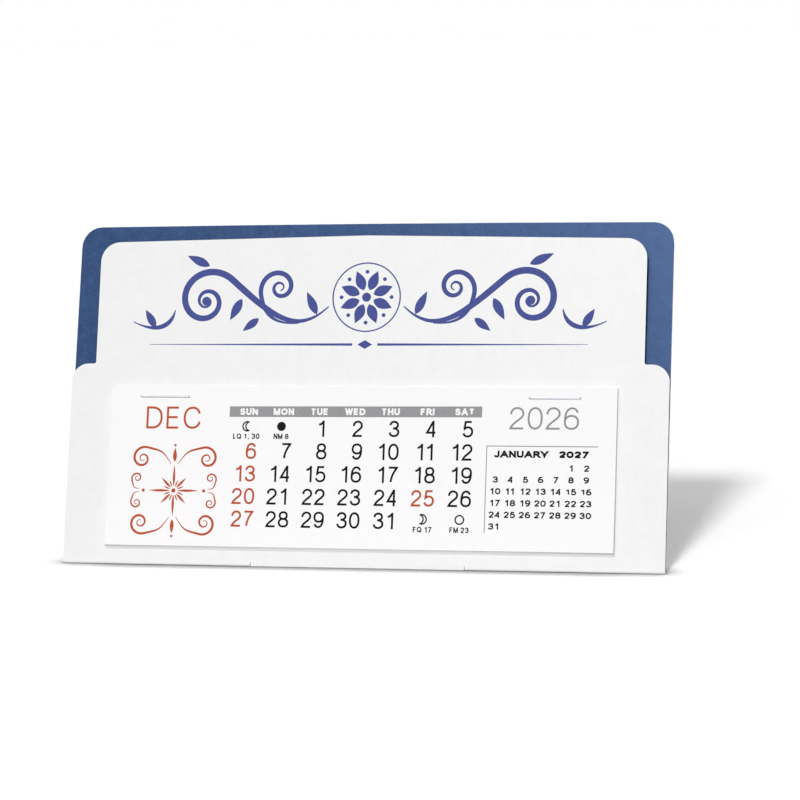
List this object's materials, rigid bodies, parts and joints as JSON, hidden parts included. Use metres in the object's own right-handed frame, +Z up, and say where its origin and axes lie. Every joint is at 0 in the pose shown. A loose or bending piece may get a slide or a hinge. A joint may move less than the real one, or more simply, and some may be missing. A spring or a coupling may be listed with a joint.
{
  "type": "desk calendar",
  "caption": "Folded card desk calendar: white header panel with a stapled pad of month leaves, blue back panel and a fold-out easel leg.",
  "frame": {"origin": "on the desk, under the middle of the whole object's bounding box", "axes": "+X along the bottom edge to the viewer's right, +Y towards the back, +Z up; the calendar faces -Y"},
  "size_m": [0.1524, 0.0302, 0.0826],
  "materials": {
    "white_board": "matte uncoated white cover board",
    "blue_facing": "matte mid-blue cover paper, slightly mottled",
    "pad_paper": "smooth bright white text paper",
    "staple_wire": "bright drawn steel wire"
  },
  "bodies": {
    "back_panel": {"back_board": "white_board", "back_facing": "blue_facing", "fold_left": "white_board", "fold_right": "white_board"},
    "easel_leg": {"leg_board": "white_board", "leg_facing": "blue_facing"},
    "front_panel": {"front_board": "white_board", "front_facing": "blue_facing", "pad_stubs": "pad_paper", "staple_left": "staple_wire", "staple_right": "staple_wire"},
    "later_leaves": {"leaf_03": "pad_paper", "leaf_04": "pad_paper", "leaf_05": "pad_paper", "leaf_06": "pad_paper", "leaf_07": "pad_paper", "leaf_08": "pad_paper", "leaf_09": "pad_paper", "leaf_10": "pad_paper", "leaf_11": "pad_paper", "leaf_12": "pad_paper", "leaf_13": "pad_paper"},
    "second_leaf": {"leaf_02": "pad_paper"},
    "top_leaf": {"leaf_01": "pad_paper"}
  },
  "joints": [
    {"name": "leg_crease", "type": "hinge", "parent": "back_panel", "child": "easel_leg", "pos_m": [0, 0.00361, 0.05603], "axis": [-1, 0, 0], "range_deg": [0, 28.6]},
    {"name": "bottom_fold", "type": "hinge", "parent": "back_panel", "child": "front_panel", "pos_m": [0, -0.01411, 0.0008], "axis": [1, 0, 0], "range_deg": [0, 85], "deforming": ["fold_left", "fold_right"]},
    {"name": "later_leaves_turn", "type": "hinge", "parent": "front_panel", "child": "later_leaves", "pos_m": [0, -0.00522, 0.03944], "axis": [-1, 0, 0], "range_deg": [0, 30]},
    {"name": "second_leaf_turn", "type": "hinge", "parent": "later_leaves", "child": "second_leaf", "pos_m": [0, -0.00522, 0.03944], "axis": [-1, 0, 0], "range_deg": [0, 40]},
    {"name": "top_leaf_turn", "type": "hinge", "parent": "second_leaf", "child": "top_leaf", "pos_m": [0, -0.00522, 0.03944], "axis": [-1, 0, 0], "range_deg": [0, 85]}
  ]
}
